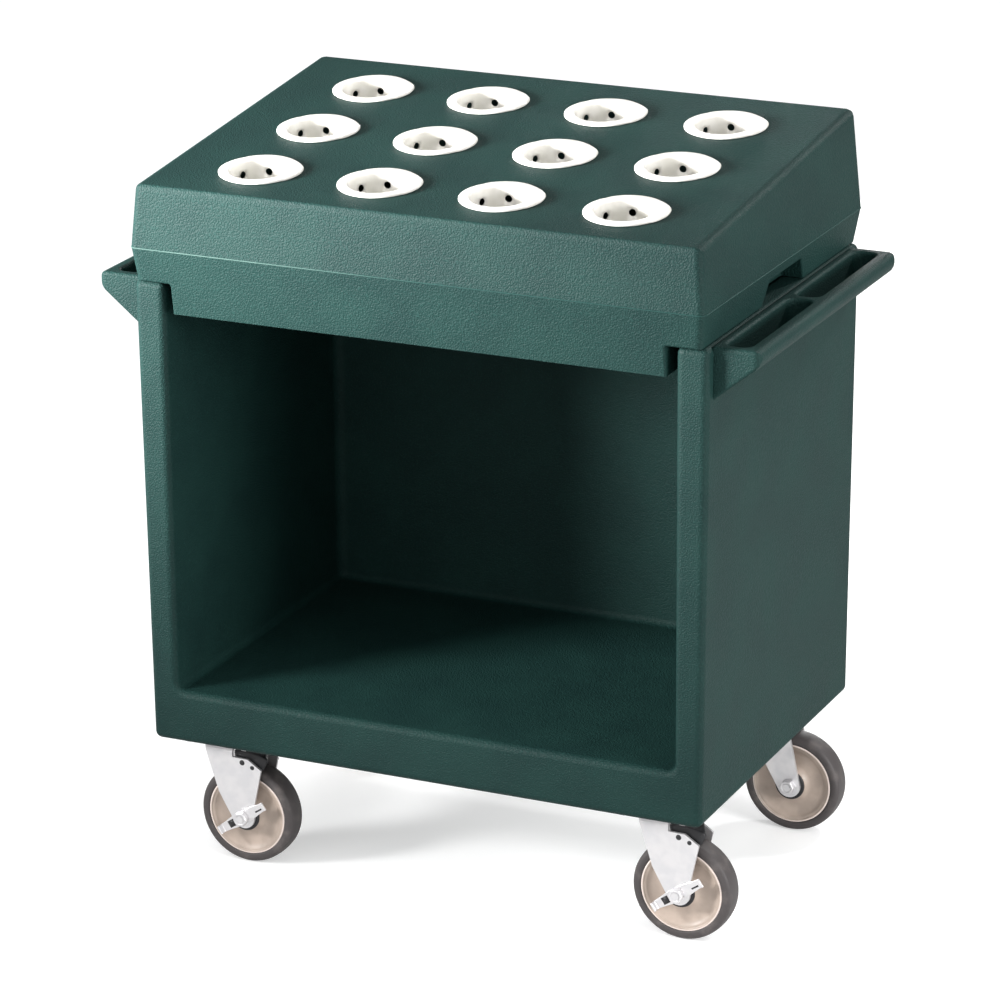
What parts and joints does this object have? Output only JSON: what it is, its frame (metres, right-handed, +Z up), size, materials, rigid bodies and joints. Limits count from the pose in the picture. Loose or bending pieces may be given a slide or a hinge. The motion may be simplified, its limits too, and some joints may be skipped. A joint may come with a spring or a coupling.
{
  "type": "cutlery trolley",
  "caption": "Moulded serving trolley with an open tray compartment, a sloping lift-off rack of perforated cutlery cups, push handles at both ends and swivel casters with brakes.",
  "frame": {"origin": "centre of the trolley's outline on the floor, under the middle of the cabinet", "axes": "+Z up from the floor, -Y out of the open front where trays are taken, +X to the right of someone facing the open front, along the line between the two push handles"},
  "size_m": [1.014, 0.612, 1.0991],
  "materials": {
    "moulded_body": "dark green rotationally moulded polyethylene with a fine granite-like texture",
    "moulded_rack": "dark green rotationally moulded polyethylene with a fine granite-like texture",
    "cup_plastic": "smooth white injection-moulded plastic",
    "zinc_plate": "bright zinc-plated pressed steel",
    "black_plastic": "dark moulded plastic",
    "wheel_plastic": "beige-grey moulded wheel core",
    "tyre_rubber": "warm dark grey non-marking rubber",
    "bush_brass": "plain machined brass"
  },
  "bodies": {
    "cart": {"cart_body": "moulded_body", "front_left_top_plate": "zinc_plate", "front_right_top_plate": "zinc_plate", "rear_left_top_plate": "zinc_plate", "rear_right_top_plate": "zinc_plate", "kingpins": "zinc_plate", "kingpin_nuts": "zinc_plate", "swivel_balls": "zinc_plate", "caster_bolts": "zinc_plate", "caster_washers": "zinc_plate", "caster_inserts": "bush_brass"},
    "rack": {"cutlery_rack": "moulded_rack"},
    "cup_front_1": {"cup_front_1": "cup_plastic"},
    "cup_front_2": {"cup_front_2": "cup_plastic"},
    "cup_front_3": {"cup_front_3": "cup_plastic"},
    "cup_front_4": {"cup_front_4": "cup_plastic"},
    "cup_middle_1": {"cup_middle_1": "cup_plastic"},
    "cup_middle_2": {"cup_middle_2": "cup_plastic"},
    "cup_middle_3": {"cup_middle_3": "cup_plastic"},
    "cup_middle_4": {"cup_middle_4": "cup_plastic"},
    "cup_rear_1": {"cup_rear_1": "cup_plastic"},
    "cup_rear_2": {"cup_rear_2": "cup_plastic"},
    "cup_rear_3": {"cup_rear_3": "cup_plastic"},
    "cup_rear_4": {"cup_rear_4": "cup_plastic"},
    "front_left_swivel": {"front_left_fork": "zinc_plate", "front_left_axle_bolt": "zinc_plate", "front_left_axle_nut": "zinc_plate", "front_left_thread_guards": "black_plastic", "front_left_brake_pin": "zinc_plate"},
    "front_left_wheel": {"front_left_wheel_core": "wheel_plastic", "front_left_tyre": "tyre_rubber", "front_left_bush": "bush_brass"},
    "front_left_lever": {"front_left_brake_lever": "zinc_plate"},
    "front_left_shoe": {"front_left_brake_shoe": "black_plastic"},
    "front_right_swivel": {"front_right_fork": "zinc_plate", "front_right_axle_bolt": "zinc_plate", "front_right_axle_nut": "zinc_plate", "front_right_thread_guards": "black_plastic", "front_right_brake_pin": "zinc_plate"},
    "front_right_wheel": {"front_right_wheel_core": "wheel_plastic", "front_right_tyre": "tyre_rubber", "front_right_bush": "bush_brass"},
    "front_right_lever": {"front_right_brake_lever": "zinc_plate"},
    "front_right_shoe": {"front_right_brake_shoe": "black_plastic"},
    "rear_left_swivel": {"rear_left_fork": "zinc_plate", "rear_left_axle_bolt": "zinc_plate", "rear_left_axle_nut": "zinc_plate", "rear_left_thread_guards": "black_plastic"},
    "rear_left_wheel": {"rear_left_wheel_core": "wheel_plastic", "rear_left_tyre": "tyre_rubber", "rear_left_bush": "bush_brass"},
    "rear_right_swivel": {"rear_right_fork": "zinc_plate", "rear_right_axle_bolt": "zinc_plate", "rear_right_axle_nut": "zinc_plate", "rear_right_thread_guards": "black_plastic"},
    "rear_right_wheel": {"rear_right_wheel_core": "wheel_plastic", "rear_right_tyre": "tyre_rubber", "rear_right_bush": "bush_brass"}
  },
  "joints": [
    {"name": "rack_lift", "type": "slide", "parent": "cart", "child": "rack", "axis": [0, 0, 1], "range_m": [0, 0.25]},
    {"name": "cup_front_1_lift", "type": "slide", "parent": "rack", "child": "cup_front_1", "axis": [0, -0.0982, 0.9952], "range_m": [0, 0.15]},
    {"name": "cup_front_2_lift", "type": "slide", "parent": "rack", "child": "cup_front_2", "axis": [0, -0.0982, 0.9952], "range_m": [0, 0.15]},
    {"name": "cup_front_3_lift", "type": "slide", "parent": "rack", "child": "cup_front_3", "axis": [0, -0.0982, 0.9952], "range_m": [0, 0.15]},
    {"name": "cup_front_4_lift", "type": "slide", "parent": "rack", "child": "cup_front_4", "axis": [0, -0.0982, 0.9952], "range_m": [0, 0.15]},
    {"name": "cup_middle_1_lift", "type": "slide", "parent": "rack", "child": "cup_middle_1", "axis": [0, -0.0982, 0.9952], "range_m": [0, 0.15]},
    {"name": "cup_middle_2_lift", "type": "slide", "parent": "rack", "child": "cup_middle_2", "axis": [0, -0.0982, 0.9952], "range_m": [0, 0.15]},
    {"name": "cup_middle_3_lift", "type": "slide", "parent": "rack", "child": "cup_middle_3", "axis": [0, -0.0982, 0.9952], "range_m": [0, 0.15]},
    {"name": "cup_middle_4_lift", "type": "slide", "parent": "rack", "child": "cup_middle_4", "axis": [0, -0.0982, 0.9952], "range_m": [0, 0.15]},
    {"name": "cup_rear_1_lift", "type": "slide", "parent": "rack", "child": "cup_rear_1", "axis": [0, -0.0982, 0.9952], "range_m": [0, 0.15]},
    {"name": "cup_rear_2_lift", "type": "slide", "parent": "rack", "child": "cup_rear_2", "axis": [0, -0.0982, 0.9952], "range_m": [0, 0.15]},
    {"name": "cup_rear_3_lift", "type": "slide", "parent": "rack", "child": "cup_rear_3", "axis": [0, -0.0982, 0.9952], "range_m": [0, 0.15]},
    {"name": "cup_rear_4_lift", "type": "slide", "parent": "rack", "child": "cup_rear_4", "axis": [0, -0.0982, 0.9952], "range_m": [0, 0.15]},
    {"name": "front_left_caster_swivel", "type": "hinge", "parent": "cart", "child": "front_left_swivel", "pos_m": [-0.347, -0.216, 0.18], "axis": [0, 0, 1], "continuous": true},
    {"name": "front_left_wheel_spin", "type": "hinge", "parent": "front_left_swivel", "child": "front_left_wheel", "pos_m": [-0.313, -0.216, 0.076], "axis": [0, 1, 0], "continuous": true},
    {"name": "front_left_brake_press", "type": "hinge", "parent": "front_left_swivel", "child": "front_left_lever", "pos_m": [-0.313, -0.216, 0.076], "axis": [0, 1, 0], "range_deg": [0, 25]},
    {"name": "front_left_brake_shoe_turn", "type": "hinge", "parent": "front_left_swivel", "child": "front_left_shoe", "pos_m": [-0.313, -0.216, 0.16218], "axis": [0, 1, 0], "range_deg": [0, 5]},
    {"name": "front_right_caster_swivel", "type": "hinge", "parent": "cart", "child": "front_right_swivel", "pos_m": [0.347, -0.216, 0.18], "axis": [0, 0, 1], "continuous": true},
    {"name": "front_right_wheel_spin", "type": "hinge", "parent": "front_right_swivel", "child": "front_right_wheel", "pos_m": [0.381, -0.216, 0.076], "axis": [0, 1, 0], "continuous": true},
    {"name": "front_right_brake_press", "type": "hinge", "parent": "front_right_swivel", "child": "front_right_lever", "pos_m": [0.381, -0.216, 0.076], "axis": [0, 1, 0], "range_deg": [0, 25]},
    {"name": "front_right_brake_shoe_turn", "type": "hinge", "parent": "front_right_swivel", "child": "front_right_shoe", "pos_m": [0.381, -0.216, 0.16218], "axis": [0, 1, 0], "range_deg": [0, 5]},
    {"name": "rear_left_caster_swivel", "type": "hinge", "parent": "cart", "child": "rear_left_swivel", "pos_m": [-0.347, 0.216, 0.18], "axis": [0, 0, 1], "continuous": true},
    {"name": "rear_left_wheel_spin", "type": "hinge", "parent": "rear_left_swivel", "child": "rear_left_wheel", "pos_m": [-0.313, 0.216, 0.076], "axis": [0, 1, 0], "continuous": true},
    {"name": "rear_right_caster_swivel", "type": "hinge", "parent": "cart", "child": "rear_right_swivel", "pos_m": [0.347, 0.216, 0.18], "axis": [0, 0, 1], "continuous": true},
    {"name": "rear_right_wheel_spin", "type": "hinge", "parent": "rear_right_swivel", "child": "rear_right_wheel", "pos_m": [0.381, 0.216, 0.076], "axis": [0, 1, 0], "continuous": true}
  ],
  "couplings": [
    {"joint": "front_left_brake_shoe_turn", "follows": "front_left_brake_press", "ratio": 0.2},
    {"joint": "front_right_brake_shoe_turn", "follows": "front_right_brake_press", "ratio": 0.2}
  ]
}
